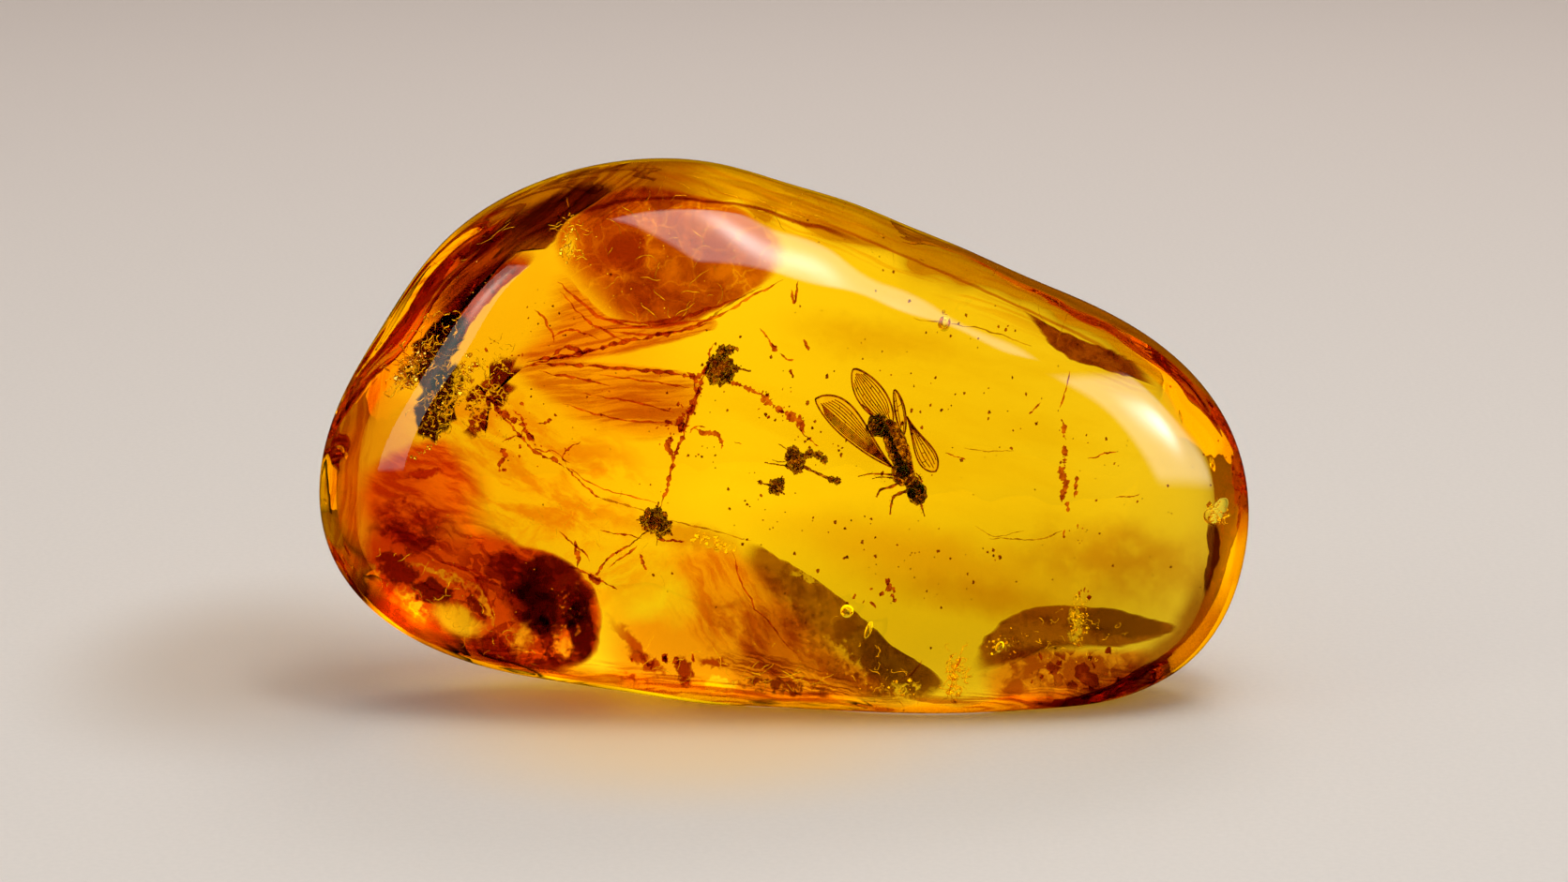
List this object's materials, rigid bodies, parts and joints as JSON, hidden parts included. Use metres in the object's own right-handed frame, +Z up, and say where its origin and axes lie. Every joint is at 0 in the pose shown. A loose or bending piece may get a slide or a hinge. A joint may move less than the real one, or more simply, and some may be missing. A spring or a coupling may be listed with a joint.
{
  "type": "insect in amber",
  "caption": "Smooth, clear amber pebble parted at its middle plane, with a winged insect, clumps of forest debris and a dark lump sealed in pockets.",
  "frame": {"origin": "on the surface that the pebble rests on, under the middle of its bounding box", "axes": "+X along the pebble's length, +Y through its thickness and away from the face it is looked at from, +Z up"},
  "size_m": [0.0498, 0.019, 0.0292],
  "materials": {
    "amber": "clear golden-yellow amber, polished, deepening to orange-brown along the rim and in the older flows",
    "insect": "dark red-brown chitin, with thin veined wings",
    "debris": "dark brown crumbs of bark and plant matter"
  },
  "bodies": {
    "root": {"amber_front": "amber", "amber_back": "amber", "insect": "insect", "debris_upper": "debris", "debris_lower": "debris", "debris_middle": "debris", "debris_small": "debris", "dark_lump": "debris"}
  },
  "joints": []
}
